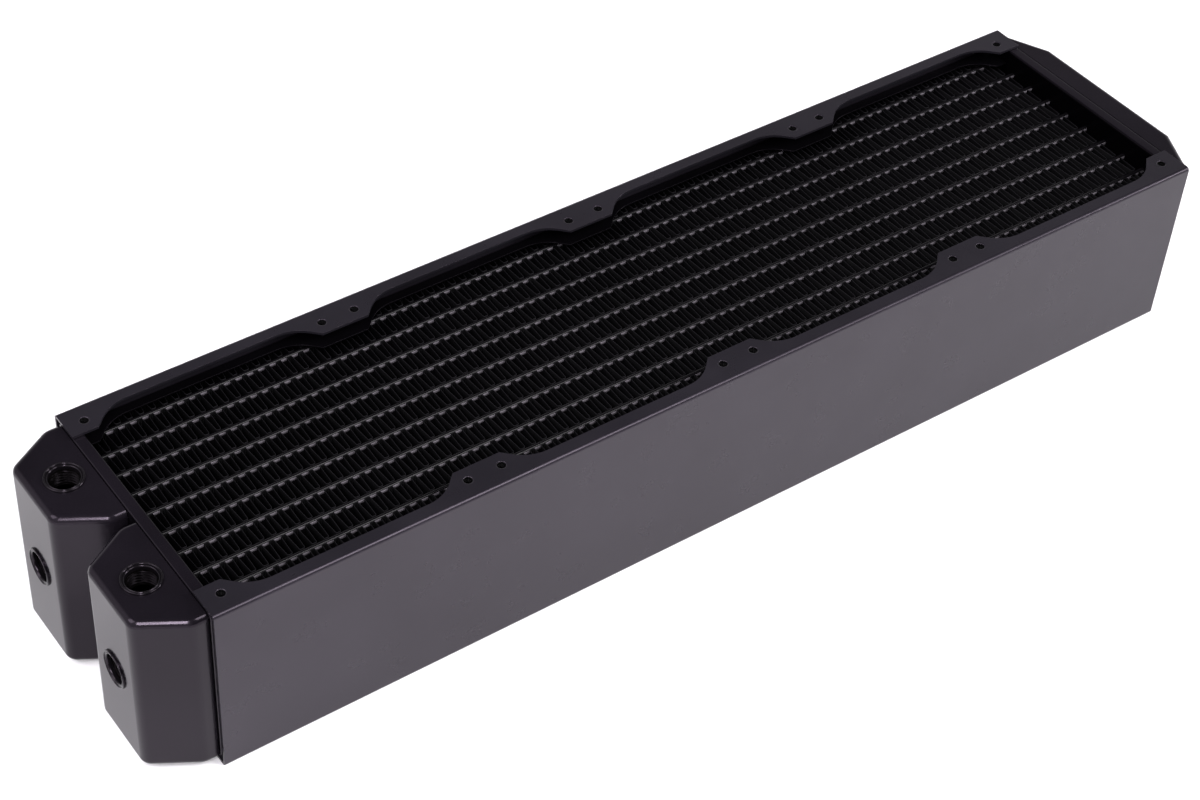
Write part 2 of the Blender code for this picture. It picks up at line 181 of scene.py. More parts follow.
def rounded(corners, radii, steps=ARC_STEPS):
    """A polygon with each corner replaced by an arc of its radius."""
    outline = []
    count = len(corners)
    for index in range(count):
        corner = Vector(corners[index])
        radius = radii[index]
        if radius <= 0:
            outline.append(tuple(corner))
            continue
        back = (Vector(corners[index - 1]) - corner).normalized()
        ahead = (Vector(corners[(index + 1) % count]) - corner).normalized()
        half_angle = back.angle(ahead) / 2
        reach = radius / math.tan(half_angle)
        middle = corner + (back + ahead).normalized() * (radius / math.sin(half_angle))
        start = corner + back * reach - middle
        end = corner + ahead * reach - middle
        sweep = start.angle(end)
        for step in range(steps + 1):
            share = step / steps
            near = math.sin((1 - share) * sweep) / math.sin(sweep)
            far = math.sin(share * sweep) / math.sin(sweep)
            outline.append(tuple(middle + start * near + end * far))
    return outline


def inset(corners, distance):
    """A convex counter-clockwise polygon with every side moved inwards."""
    moved = []
    count = len(corners)
    for index in range(count):
        here = Vector(corners[index])
        back = (here - Vector(corners[index - 1])).normalized()
        ahead = (Vector(corners[(index + 1) % count]) - here).normalized()
        inward_back = Vector((-back.y, back.x))
        inward_ahead = Vector((-ahead.y, ahead.x))
        bisector = (inward_back + inward_ahead).normalized()
        moved.append(tuple(here + bisector * (distance / bisector.dot(inward_back))))
    return moved


def in_plan(u, v, height):
    """Outline in X and Y, extruded along Z."""
    return Vector((u, v, height))


def in_section(u, v, along):
    """Outline in Y and Z, extruded along X."""
    return Vector((along, u, v))


# ---------------------------------------------------------------- meshes


def add_loops(bm, loops, close_ends=True):
    """Skin a row of equal loops and cap both ends, or join the last to the first."""
    rows = [[bm.verts.new(point) for point in loop] for loop in loops]
    count = len(rows[0])
    pairs = list(zip(rows, rows[1:]))
    if not close_ends:
        pairs.append((rows[-1], rows[0]))
    for lower, upper in pairs:
        for index in range(count):
            after = (index + 1) % count
            bm.faces.new((lower[index], lower[after], upper[after], upper[index]))
    if close_ends:
        bm.faces.new(list(reversed(rows[0])))
        bm.faces.new(rows[-1])


def add_prism(bm, outline, low, high, axes):
    """Extrude a counter-clockwise outline from low to high."""
    add_loops(bm, [[axes(u, v, level) for u, v in outline] for level in (low, high)])


def new_object(bm, name):
    """Turn the bmesh into a linked object with its faces pointing out."""
    bmesh.ops.recalc_face_normals(bm, faces=bm.faces)
    mesh = bpy.data.meshes.new(name)
    bm.to_mesh(mesh)
    bm.free()
    item = bpy.data.objects.new(name, mesh)
    bpy.context.scene.collection.objects.link(item)
    return item


def combine(target, tool, operation):
    """Apply a Boolean of the tool to the target, then remove the tool."""
    modifier = target.modifiers.new("combine", "BOOLEAN")
    modifier.object = tool
    modifier.operation = operation
    modifier.solver = "EXACT"
    depsgraph = bpy.context.evaluated_depsgraph_get()
    result = bpy.data.meshes.new_from_object(target.evaluated_get(depsgraph))
    target.modifiers.clear()
    target.data = result
    bpy.data.objects.remove(tool, do_unlink=True)


def keep_flat(item):
    """Let the large faces set the shading, so that flats stay flat beside their bends."""
    item.modifiers.new("flat_faces", "WEIGHTED_NORMAL").keep_sharp = True


def ease_edges(item):
    """Round every edge sharper than the soft angle."""
    bevel = item.modifiers.new("eased_edges", "BEVEL")
    bevel.width = EDGE_EASE
    bevel.segments = 2
    bevel.limit_method = "ANGLE"
    bevel.angle_limit = SOFT_EDGE_ANGLE
    bevel.harden_normals = False


def show(item, material, node):
    """Dress a piece, let it ride on the body and stand for its CAD node."""
    item.data.materials.clear()
    item.data.materials.append(material)
    item.data.shade_smooth()
    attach(item, "root")
    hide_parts(node)


def half_turn(bm, core_x):
    """Turn a mesh made for the +Y side round to the -Y side."""
    turn = Matrix.Rotation(math.pi, 4, "Z")
    turn.translation = (2 * core_x, 0, 0)
    bmesh.ops.transform(bm, matrix=turn, verts=bm.verts)


def ridge(phase):
    """Thread form over one pitch: 0 on the crest, 1 in the root, with straight flanks between."""
    share = phase % 1.0
    return min(1.0, max(0.0, 1.5 * (1 - abs(2 * share - 1)) - 0.25))


def turned_loops(profile, sides, seat, pitch=1.0):
    """Loops of a turned profile of (radius, level, thread depth), placed by the seat matrix."""
    loops = []
    for radius, level, depth in profile:
        loop = []
        for index in range(sides):
            turn = index / sides
            grown = radius + depth * ridge(level / pitch - turn)
            angle = 2 * math.pi * turn
            loop.append(seat @ Vector((grown * math.cos(angle), grown * math.sin(angle), level)))
        loops.append(loop)
    return loops


def thread_rows(minor, depth, pitch, top, bottom):
    """Rows of a thread from top to bottom, running out at both ends."""
    count = round((top - bottom) / pitch * THREAD_ROWS)
    rows = []
    for index in range(count + 1):
        share = index / count
        level = top + (bottom - top) * share
        fade = min(1.0, THREAD_FADE * share, THREAD_FADE * (1 - share))
        rows.append((minor, level, depth * fade))
    return rows


# ---------------------------------------------------------------- materials


def link(tree, start, end):
    """Join two sockets."""
    tree.links.new(start, end)


def noise_of(tree, where, scale, detail=2.0, rough=0.5):
    """Noise value in the object's own coordinates."""
    node = tree.nodes.new("ShaderNodeTexNoise")
    node.inputs["Scale"].default_value = scale
    node.inputs["Detail"].default_value = detail
    node.inputs["Roughness"].default_value = rough
    link(tree, where, node.inputs["Vector"])
    return node.outputs["Fac"]


def spread_of(tree, value, low, high, from_low=0.3, from_high=0.7):
    """The value mapped from its usual spread onto low to high."""
    node = tree.nodes.new("ShaderNodeMapRange")
    node.inputs["From Min"].default_value = from_low
    node.inputs["From Max"].default_value = from_high
    node.inputs["To Min"].default_value = low
    node.inputs["To Max"].default_value = high
    link(tree, value, node.inputs["Value"])
    return node.outputs["Result"]


def mix_of(tree, share, first, second):
    """Colour between two colours; each may be a socket."""
    node = tree.nodes.new("ShaderNodeMix")
    node.data_type = "RGBA"
    link(tree, share, node.inputs["Factor"])
    for value, socket in ((first, node.inputs["A"]), (second, node.inputs["B"])):
        if isinstance(value, tuple):
            socket.default_value = (*value, 1.0)
        else:
            link(tree, value, socket)
    return node.outputs["Result"]


def finish_coat(name, dark, light, roughness, specular, peel, tint=(1.0, 1.0, 1.0), dust=0.0):
    """A sprayed finish: cloudy tone, fine grain, dust, uneven gloss and orange peel."""
    material = bpy.data.materials.new(name)
    material.use_nodes = True
    tree = material.node_tree
    shader = tree.nodes["Principled BSDF"]
    where = tree.nodes.new("ShaderNodeTexCoord").outputs["Object"]
    cloud = noise_of(tree, where, CLOUD_SCALE, detail=4.0)
    grain = noise_of(tree, where, GRAIN_SCALE)
    tone = mix_of(tree, spread_of(tree, cloud, 0.0, 1.0), dark, light)
    speckled = mix_of(tree, spread_of(tree, grain, 0.0, 0.35, 0.45, 0.8), tone, light)
    if dust > 0:
        flecks = noise_of(tree, where, FLECK_SCALE, detail=1.0)
        speckled = mix_of(tree, spread_of(tree, flecks, 0.0, dust, 0.72, 0.80), speckled, FLECK_TONE)
    link(tree, speckled, shader.inputs["Base Color"])
    gloss = noise_of(tree, where, GLOSS_SCALE, detail=5.0, rough=0.6)
    link(tree, spread_of(tree, gloss, *roughness), shader.inputs["Roughness"])
    peel_scale, peel_strength = peel
    skin = noise_of(tree, where, peel_scale, detail=3.0)
    bump = tree.nodes.new("ShaderNodeBump")
    bump.inputs["Strength"].default_value = peel_strength
    bump.inputs["Distance"].default_value = PEEL_DEPTH
    link(tree, skin, bump.inputs["Height"])
    link(tree, bump.outputs["Normal"], shader.inputs["Normal"])
    shader.inputs["Specular IOR Level"].default_value = specular
    shader.inputs["Specular Tint"].default_value = (*tint, 1.0)
    return material


def core_middle():
    """X of the middle of the core and the fan row."""
    low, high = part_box("side_panel_rear")
    return (low.x + high.x) / 2


def tank_coat(name):
    """The tanks' glossier finish."""
    return finish_coat(name, (0.0042, 0.0035, 0.0048), (0.0066, 0.0054, 0.0076), (0.14, 0.19),
                       TANK_SPECULAR, (700, 0.08), tint=PAINT_CAST, dust=0.05)


def distance_of(tree, axis, middle):
    """How far a point lies from the middle along one axis of the object."""
    where = tree.nodes["Texture Coordinate"].outputs["Object"]
    split = tree.nodes.new("ShaderNodeSeparateXYZ")
    link(tree, where, split.inputs["Vector"])
    offset = tree.nodes.new("ShaderNodeMath")
    offset.operation = "SUBTRACT"
    offset.inputs[1].default_value = middle
    link(tree, split.outputs[axis], offset.inputs[0])
    distance = tree.nodes.new("ShaderNodeMath")
    distance.operation = "ABSOLUTE"
    link(tree, offset.outputs["Value"], distance.inputs[0])
    return distance.outputs["Value"]


def near_edges(tree, depths):
    """1 along the tubes' upper and lower edges, fading to 0 between two depths below them."""
    low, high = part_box("flat_tube_01")
    reach = (high.z - low.z) / 2
    away = distance_of(tree, "Z", low.z + reach)
    return spread_of(tree, away, 0.0, 1.0, reach - depths[0], reach - depths[1])


def tube_coat():
    """The tubes' finish: dark rounded edges and depths, with a pale band of painted light between them,
    where the low key light reaches the tubes' sides.
    """
    # the pale tones here are painted light for the band; the tube's own dark paint is TUBE_EDGE_TONE
    material = finish_coat("tube_paint", (0.1350, 0.1245, 0.1380), (0.1875, 0.1725, 0.1935),
                           (0.20, 0.28), 0.12, (1300, 0.05))
    tree = material.node_tree
    socket = tree.nodes["Principled BSDF"].inputs["Base Color"]
    painted_light = socket.links[0].from_socket
    banded = mix_of(tree, near_edges(tree, TUBE_PAINTED_LIGHT_BAND), TUBE_EDGE_TONE, painted_light)
    link(tree, mix_of(tree, near_edges(tree, TUBE_CROWN), banded, TUBE_EDGE_TONE), socket)
    return material


def fin_coat():
    """The fins' finish: near-black walls, painted shade of the deep core, under a line of the paint's own
    black along their cut edges.
    """
    # near-black wall tones: painted shade of the deep core
    material = finish_coat("fin_paint", (0.0004, 0.0004, 0.0005), (0.0010, 0.0009, 0.0012),
                           (0.42, 0.58), 0.02, (1500, 0.20))
    tree = material.node_tree
    socket = tree.nodes["Principled BSDF"].inputs["Base Color"]
    # the walls' tone is painted shade
    walls = socket.links[0].from_socket
    link(tree, mix_of(tree, near_edges(tree, FIN_CREST), walls, FIN_CREST_TONE), socket)
    return material


def tray_coat():
    """The trays' finish: tank paint on the rims, and painted shade on the face round the tubes: near-black,
    with its gloss cut.
    """
    material = tank_coat("satin_tray_paint")
    tree = material.node_tree
    shader = tree.nodes["Principled BSDF"]
    rims = shader.inputs["Base Color"].links[0].from_socket
    middle = core_middle()
    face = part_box("header_return")[0].x - middle
    away = distance_of(tree, "X", middle)
    outside = spread_of(tree, away, 0.0, 1.0, face + TRAY_FACE_EDGE, face + TRAY_BEND)
    gloss = spread_of(tree, outside, TRAY_FACE_SPECULAR, TANK_SPECULAR, 0.0, 1.0)
    # the face round the tubes gets near-black painted shade
    link(tree, mix_of(tree, outside, TRAY_FACE_PAINTED_SHADE, rims), shader.inputs["Base Color"])
    link(tree, gloss, shader.inputs["Specular IOR Level"])
    return material


PANEL_PAINT = finish_coat("satin_panel_paint", (0.0076, 0.0069, 0.0090), (0.0114, 0.0104, 0.0134),
                          (0.26, 0.33), 0.31, (900, 0.10), tint=PAINT_CAST, dust=0.03)
TANK_PAINT = tank_coat("satin_tank_paint")
TRAY_PAINT = tray_coat()
# near-black tones: painted shade of the channels, which lie in shade under the flanges
CHANNEL_PAINT = finish_coat("matt_channel_paint", (0.0007, 0.0006, 0.0008), (0.0015, 0.0013, 0.0018),
                            (0.28, 0.38), 0.04, (1100, 0.12), tint=PAINT_CAST)
# near-black tones: painted shade inside the tapped screw collars
HOLE_PAINT = finish_coat("dark_screw_holes", (0.0004, 0.0004, 0.0005), (0.0010, 0.0009, 0.0012),
                         (0.36, 0.48), 0.03, (1500, 0.20))
FIN_PAINT = fin_coat()
TUBE_PAINT = tube_coat()
PORT_PLATING = finish_coat("black_port_plating", (0.0016, 0.0014, 0.0018), (0.0034, 0.0029, 0.0036),
                           (0.15, 0.22), 0.20, (2400, 0.06), tint=PAINT_CAST)
# near-black tones: painted shade inside the ports' bores, darker than the same insert's collar plating
PORT_THREAD = finish_coat("dark_port_thread", (0.0006, 0.0005, 0.0005), (0.0016, 0.0014, 0.0013),
                          (0.24, 0.34), 0.035, (2400, 0.08), tint=PAINT_CAST)


# ---------------------------------------------------------------- side panels and channels


def fan_centres(core_x):
    """X of each fan."""
    return [core_x + (index - (FAN_COUNT - 1) / 2) * FAN_PITCH for index in range(FAN_COUNT)]


def window_outline(centre, tab_edge):
    """Plan of the flange's cut-out beside one fan, on the +Y side.

    Each end leaves the tab at 45 degrees, then runs into the rail on an arc.
    """
    slope_end = tab_edge + WINDOW_SLOPE
    radius = (RAIL_EDGE - slope_end) / (1 - math.cos(math.pi / 4))
    arc_start = WINDOW_HALF - WINDOW_SLOPE
    arc_middle = (arc_start - radius * math.sin(math.pi / 4), RAIL_EDGE - radius)
    right = [(WINDOW_HALF + WINDOW_OVERRUN, tab_edge - WINDOW_OVERRUN)]
    steps = 2 * ARC_STEPS
    for step in range(steps + 1):
        turn = math.pi / 4 * (1 + step / steps)
        right.append((arc_middle[0] + radius * math.cos(turn), arc_middle[1] + radius * math.sin(turn)))
    left = [(-u, v) for u, v in reversed(right)]
    return [(centre + u, v) for u, v in right + left]


def c_section(inner, outer, low, high, sheet, bend):
    """Section of a folded channel on the +Y side, open towards the middle."""
    outside = [(inner, low), (outer, low), (outer, high), (inner, high)]
    inside = [(inner, high - sheet), (outer - sheet, high - sheet),
              (outer - sheet, low + sheet), (inner, low + sheet)]
    inner_bend = bend - sheet
    return rounded(outside, (0, bend, bend, 0)) + rounded(inside, (0, inner_bend, inner_bend, 0))


def hole_places(core_x):
    """X and Y of each fan screw hole on the +Y side."""
    places = []
    for centre in fan_centres(core_x):
        for side in (-1, 1):
            places.append((centre + side * FAN_HOLE_SPACING / 2, FAN_HOLE_SPACING / 2))
    return places


def hole_seats(core_x, low, high):
    """Frames at each screw hole, with +Z out of the flange."""
    seats = []
    for x, y in hole_places(core_x):
        seats.append(Matrix.Translation((x, y, high)))
        seats.append(Matrix.Translation((x, y, low)) @ Matrix.Rotation(math.pi, 4, "X"))
    return seats


def folded_panel(name, box, sheet, bend, with_screws, front):
    """A folded side sheet with a window beside each fan, made on +Y and turned if it is in front."""
    low, high = box
    core_x = (low.x + high.x) / 2
    tab_edge, outer = sorted((abs(low.y), abs(high.y)))
    bm = bmesh.new()
    section = c_section(tab_edge, outer, low.z, high.z, sheet, bend)
    add_prism(bm, section, low.x, high.x, in_section)
    panel = new_object(bm, name)
    cuts = bmesh.new()
    for centre in fan_centres(core_x):
        add_prism(cuts, window_outline(centre, tab_edge), low.z - sheet, high.z + sheet, in_plan)
    combine(panel, new_object(cuts, name + "_windows"), "DIFFERENCE")
    if with_screws:
        holes = bmesh.new()
        profile = [
            (DIMPLE_RADIUS, sheet, 0), (DIMPLE_RADIUS, DIMPLE_START, 0),
            (DIMPLE_RADIUS * DIMPLE_KNEE[0], -DIMPLE_DEPTH * DIMPLE_KNEE[1], 0),
            (HOLE_RADIUS, -DIMPLE_DEPTH, 0), (HOLE_RADIUS, -2 * sheet, 0),
        ]
        for seat in hole_seats(core_x, low.z, high.z):
            add_loops(holes, turned_loops(profile, HOLE_SIDES, seat))
        combine(panel, new_object(holes, name + "_holes"), "DIFFERENCE")
    if front:
        bm = bmesh.new()
        bm.from_mesh(panel.data)
        half_turn(bm, core_x)
        bm.to_mesh(panel.data)
        bm.free()
    ease_edges(panel)
    keep_flat(panel)
    return panel


def screw_collars(name, box, front):
    """The tapped collars pressed down at every screw hole of one side panel."""
    low, high = box
    core_x = (low.x + high.x) / 2
    thread_top = -DIMPLE_DEPTH - SCREW_LEAD
    profile = [(SCREW_WALL, -SCREW_DEPTH, 0), (SCREW_WALL, -SCREW_SHOULDER, 0),
               (SCREW_MOUTH, -DIMPLE_DEPTH, 0), (SCREW_MINOR, thread_top, 0)]
    rows = thread_rows(SCREW_MINOR, SCREW_MAJOR - SCREW_MINOR, SCREW_PITCH, thread_top, -SCREW_DEPTH)
    profile += rows[1:]
    bm = bmesh.new()
    for seat in hole_seats(core_x, low.z, high.z):
        add_loops(bm, turned_loops(profile, HOLE_SIDES, seat, SCREW_PITCH), close_ends=False)
    if front:
        half_turn(bm, core_x)
    return new_object(bm, name)


def build_sides():
    """Side panels, their screw collars and the inner channels."""
    for side in ("front", "rear"):
        node = f"side_panel_{side}"
        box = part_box(node)
        panel = folded_panel(f"panel_{side}", box, PANEL_SHEET, PANEL_BEND, True, side == "front")
        show(panel, PANEL_PAINT, node)
        collars = screw_collars(f"screw_collars_{side}", box, side == "front")
        show(collars, HOLE_PAINT, node)
        node = f"core_channel_{side}"
        channel = folded_panel(f"channel_{side}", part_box(node), CHANNEL_SHEET, CHANNEL_BEND, False,
                               side == "front")
        show(channel, CHANNEL_PAINT, node)


# ---------------------------------------------------------------- core


def stadium(thickness, height, centre):
    """Section of a flat tube: straight sides and half-round edges."""
    radius = thickness / 2
    straight = height / 2 - radius
    points = []
    for end, first in ((1, 0.0), (-1, math.pi)):
        for step in range(ARC_STEPS + 1):
            turn = first + math.pi * step / ARC_STEPS
            across = centre[0] + radius * math.cos(turn)
            points.append((across, centre[1] + end * straight + radius * math.sin(turn)))
    return points


def tube_nodes():
    """Names of the flat tubes in the frame."""
    return sorted(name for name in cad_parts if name.startswith("flat_tube_"))


def build_tubes():
    """Flat tubes, open at both ends."""
    for node in tube_nodes():
        low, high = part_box(node)
        centre = ((low.y + high.y) / 2, (low.z + high.z) / 2)
        thickness = high.y - low.y
        height = high.z - low.z
        outer = stadium(thickness, height, centre)
        inner = stadium(thickness - 2 * TUBE_WALL, height - 2 * TUBE_WALL, centre)
        loops = []
        for outline, along in ((outer, low.x), (outer, high.x), (inner, high.x), (inner, low.x)):
            loops.append([in_section(u, v, along) for u, v in outline])
        bm = bmesh.new()
        add_loops(bm, loops, close_ends=False)
        tube = new_object(bm, node.replace("flat_", ""))
        keep_flat(tube)
        show(tube, TUBE_PAINT, node)


def folded_line(start, end, near, far, draw):
    """Plan of a folded strip that runs from start to end between near and far."""
    folds = round((end - start) / FIN_FOLD_PITCH) * 2
    step = (end - start) / folds
    walls = [start + index * step for index in range(folds + 1)]
    walls = [x + draw.uniform(-1, 1) * FIN_SLACK for x in walls]
    corners = [(walls[0], near)]
    for index, x in enumerate(walls[:-1]):
        level = far if index % 2 == 0 else near
        corners.append((x + FIN_LEAN, level))
        corners.append((walls[index + 1] - FIN_LEAN, level))
    corners.append((walls[-1], far))
    radii = [0] + [FIN_BEND] * (len(corners) - 2) + [0]
    return rounded(corners, radii, steps=FOLD_STEPS)


def folded_strip(name, node, near, far, draw):
    """Thin folded fins between two faces, with slightly uneven folds."""
    low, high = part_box(node)
    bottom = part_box("flat_tube_01")[0].z + FIN_EDGE
    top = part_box("flat_tube_01")[1].z - FIN_EDGE
    sways = [draw.uniform(-1, 1) * FIN_SLACK * FIN_SWAY for _ in range(FIN_SWAYS)]
    plan = folded_line(low.x - FIN_REACH, high.x + FIN_REACH, near, far, draw)
    bm = bmesh.new()
    lower = [bm.verts.new((x, y, bottom)) for x, y in plan]
    upper = []
    for index, (x, y) in enumerate(plan):
        shift = sways[index // (FOLD_STEPS + 1) % FIN_SWAYS]
        upper.append(bm.verts.new((x + shift, y, top - abs(shift))))
    for index in range(len(plan) - 1):
        bm.faces.new((lower[index], lower[index + 1], upper[index + 1], upper[index]))
    mesh = bpy.data.meshes.new(name)
    bm.to_mesh(mesh)
    bm.free()
    strip = bpy.data.objects.new(name, mesh)
    bpy.context.scene.collection.objects.link(strip)
    sheet = strip.modifiers.new("sheet", "SOLIDIFY")
    sheet.thickness = FIN_SHEET
    sheet.offset = 0.0
    return strip


def build_fins():
    """A strip of folded fins beside every tube."""
    draw = random.Random(11)
    tubes = sorted((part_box(node) for node in tube_nodes()), key=lambda box: box[0].y)
    reach = FIN_SHEET / 2 + TOUCH
    for number, (before, after) in enumerate(zip(tubes, tubes[1:]), start=1):
        strip = folded_strip(f"fins_{number:02d}", f"fin_strip_{number:02d}",
                             before[1].y + reach, after[0].y - reach, draw)
        show(strip, FIN_PAINT, f"fin_strip_{number:02d}")
    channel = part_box("core_channel_rear")[1].y - CHANNEL_SHEET - reach
    for side, sign in (("front", -1), ("rear", 1)):
        near, far = sorted((sign * (tubes[-1][1].y + reach), sign * channel))
        node = f"fin_strip_edge_{side}"
        strip = folded_strip(f"fins_edge_{side}", node, near, far, draw)
        show(strip, FIN_PAINT, node)


# ---------------------------------------------------------------- header trays


def tray_loop(corners, shrink, along):
    """The tray's rounded outline, drawn in by shrink, at one place along X."""
    radius = max(TRAY_CORNER - shrink, TRAY_LEAST_CORNER)
    outline = rounded(inset(corners, shrink), (radius,) * 4)
    return [in_section(u, v, along) for u, v in outline]


def tray_body(name, corners, face, rim, sign):
    """A tray from its face out to its rim and back down inside."""
    lip = TRAY_SHEET / 2
    loops = []
    for step in range(ARC_STEPS + 1):
        turn = math.pi / 2 * step / ARC_STEPS
        shrink = TRAY_BEND * (1 - math.sin(turn))
        loops.append(tray_loop(corners, shrink, face + sign * TRAY_BEND * (1 - math.cos(turn))))
    for step in range(ARC_STEPS + 1):
        turn = math.pi * step / ARC_STEPS
        shrink = lip * (1 - math.cos(turn))
        loops.append(tray_loop(corners, shrink, rim - sign * lip * (1 - math.sin(turn))))
    loops.append(tray_loop(corners, TRAY_SHEET, face + sign * TRAY_SHEET))
    bm = bmesh.new()
    add_loops(bm, loops)
    return new_object(bm, name)


def build_headers():
    """Shallow trays round the tube ends, with rounded rims towards the tanks."""
    tubes = [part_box(node) for node in tube_nodes()]
    for node, name in (("header_ports", "tray_ports"), ("header_return", "tray_return")):
        low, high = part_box(node)
        sign = 1 if low.x > core_middle() else -1
        face, rim = (low.x, high.x) if sign > 0 else (high.x, low.x)
        corners = [(low.y, low.z), (high.y, low.z), (high.y, high.z), (low.y, high.z)]
        tray = tray_body(name, corners, face, rim, sign)
        slots = bmesh.new()
        for tube_low, tube_high in tubes:
            centre = ((tube_low.y + tube_high.y) / 2, (tube_low.z + tube_high.z) / 2)
            width = tube_high.y - tube_low.y + 4 * TOUCH
            slot = stadium(width, tube_high.z - tube_low.z + 4 * TOUCH, centre)
            ends = sorted((face - sign * TRAY_SHEET, face + 2 * sign * TRAY_SHEET))
            add_prism(slots, slot, ends[0], ends[1], in_section)
        combine(tray, new_object(slots, name + "_slots"), "DIFFERENCE")
        keep_flat(tray)
        show(tray, TRAY_PAINT, node)
        tray.data.set_sharp_from_angle(angle=SOFT_EDGE_ANGLE)


# ---------------------------------------------------------------- tanks


def tank_body(name, corners, radii, levels, joint, opening):
    """A tank with rounded rims, cut flat and closed at its joint.

    The corners run counter-clockwise in plan, and the first and last lie past the joint.
    """
    low, high = levels
    loops = []
    for sign, level in ((-1, low), (1, high)):
        ring = []
        for step in range(ARC_STEPS + 1):
            turn = math.pi / 2 * step / ARC_STEPS
            shrink = TANK_RIM * (1 - math.cos(turn))
            smaller = [max(radius - shrink, LEAST_BEND) if radius else 0 for radius in radii]
            outline = rounded(inset(corners, shrink), smaller)
            ring.append([in_plan(u, v, level - sign * TANK_RIM * (1 - math.sin(turn))) for u, v in outline])
        loops += ring if sign > 0 else list(reversed(ring))
    bm = bmesh.new()
    add_loops(bm, loops)
    cut = bmesh.ops.bisect_plane(bm, geom=bm.verts[:] + bm.edges[:] + bm.faces[:],
                                 plane_co=(joint, 0, 0), plane_no=(opening, 0, 0), clear_outer=True)
    rim = [item for item in cut["geom_cut"] if isinstance(item, bmesh.types.BMEdge)]
    bmesh.ops.contextual_create(bm, geom=rim)
    return new_object(bm, name)


def hollow_out(tank, corners, levels, joint, lip_end, opening):
    """Add the lip that sits in the tray, and open the hollow inside."""
    low, high = levels
    hollow = inset(corners, TANK_WALL)
    sides = sorted((hollow[0][1], hollow[-1][1]))
    lip_low = (sides[0] - TANK_LIP, low + TANK_WALL - TANK_LIP)
    lip_high = (sides[1] + TANK_LIP, high - TANK_WALL + TANK_LIP)
    lip_corners = [lip_low, (lip_high[0], lip_low[1]), lip_high, (lip_low[0], lip_high[1])]
    ends = sorted((joint - opening * TANK_WALL, lip_end))
    lip = bmesh.new()
    add_prism(lip, rounded(lip_corners, (TANK_LIP,) * 4), ends[0], ends[1], in_section)
    combine(tank, new_object(lip, tank.name + "_lip"), "UNION")
    past = lip_end + opening * TANK_LIP
    hollow[0] = (past, hollow[0][1])
    hollow[-1] = (past, hollow[-1][1])
    cavity = bmesh.new()
    add_prism(cavity, hollow, low + TANK_WALL, high - TANK_WALL, in_plan)
    combine(tank, new_object(cavity, tank.name + "_cavity"), "DIFFERENCE")


def port_seats(side):
    """Frames of one port tank's three ports, with +Z out of the tank's face."""
    low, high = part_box(f"port_tank_{side}")
    top_low, top_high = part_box(f"port_insert_{side}_top")
    x = (top_low.x + top_high.x) / 2
    y = (top_low.y + top_high.y) / 2
    middle = (low.z + high.z) / 2
    return {
        "top": Matrix.Translation((x, y, high.z)),
        "bottom": Matrix.Translation((x, y, low.z)) @ Matrix.Rotation(math.pi, 4, "X"),
        "end": Matrix.Translation((low.x, y, middle)) @ Matrix.Rotation(-math.pi / 2, 4, "Y"),
    }


def build_port_tanks():
    """Two port tanks, mirror images, with a hole for each insert."""
    for side, sign in (("rear", 1), ("front", -1)):
        node = f"port_tank_{side}"
        low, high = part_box(node)
        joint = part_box("header_ports")[0].x - JOINT_GAP
        shoulder = joint - TANK_SHOULDER
        outer, inner = (high.y, low.y) if sign > 0 else (low.y, high.y)
        middle = (outer + inner) / 2
        face_outer = middle + sign * PORT_FACE_HALF
        face_inner = middle - sign * PORT_FACE_HALF
        past = joint + 2 * TANK_RIM
        corners = [(past, outer), (shoulder, outer), (low.x, face_outer),
                   (low.x, face_inner), (shoulder, inner), (past, inner)]
        radii = (0, TANK_SHOULDER_BEND, TANK_EDGE, TANK_EDGE, TANK_SHOULDER_BEND, 0)
        if sign < 0:
            corners.reverse()
        levels = (low.z, high.z)
        tank = tank_body(f"tank_ports_{side}", corners, radii, levels, joint, 1)
        hollow_out(tank, corners, levels, joint, high.x, 1)
        holes = bmesh.new()
        for seat in port_seats(side).values():
            profile = [(PORT_SEAT, TANK_WALL, 0), (PORT_SEAT, -2 * TANK_WALL, 0)]
            add_loops(holes, turned_loops(profile, PORT_SIDES, seat))
        combine(tank, new_object(holes, tank.name + "_holes"), "DIFFERENCE")
        keep_flat(tank)
        show(tank, TANK_PAINT, node)
        tank.data.set_sharp_from_angle(angle=SOFT_EDGE_ANGLE)


def build_return_tank():
    """The tank that turns the coolant round at the far end."""
    low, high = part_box("return_tank")
    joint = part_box("header_return")[1].x + JOINT_GAP
    shoulder = joint + RETURN_SHOULDER
    past = joint - 2 * TANK_RIM
    end = high.x + RETURN_SWELL
    corners = [(past, low.y), (shoulder, low.y), (end, -RETURN_FACE_HALF),
               (end, RETURN_FACE_HALF), (shoulder, high.y), (past, high.y)]
    radii = (0, TANK_RIM, RETURN_BEND, RETURN_BEND, TANK_RIM, 0)
    levels = (low.z, high.z)
    tank = tank_body("tank_return", corners, radii, levels, joint, -1)
    hollow_out(tank, corners, levels, joint, low.x, -1)
    keep_flat(tank)
    show(tank, TANK_PAINT, "return_tank")
    tank.data.set_sharp_from_angle(angle=SOFT_EDGE_ANGLE)


# ---------------------------------------------------------------- ports


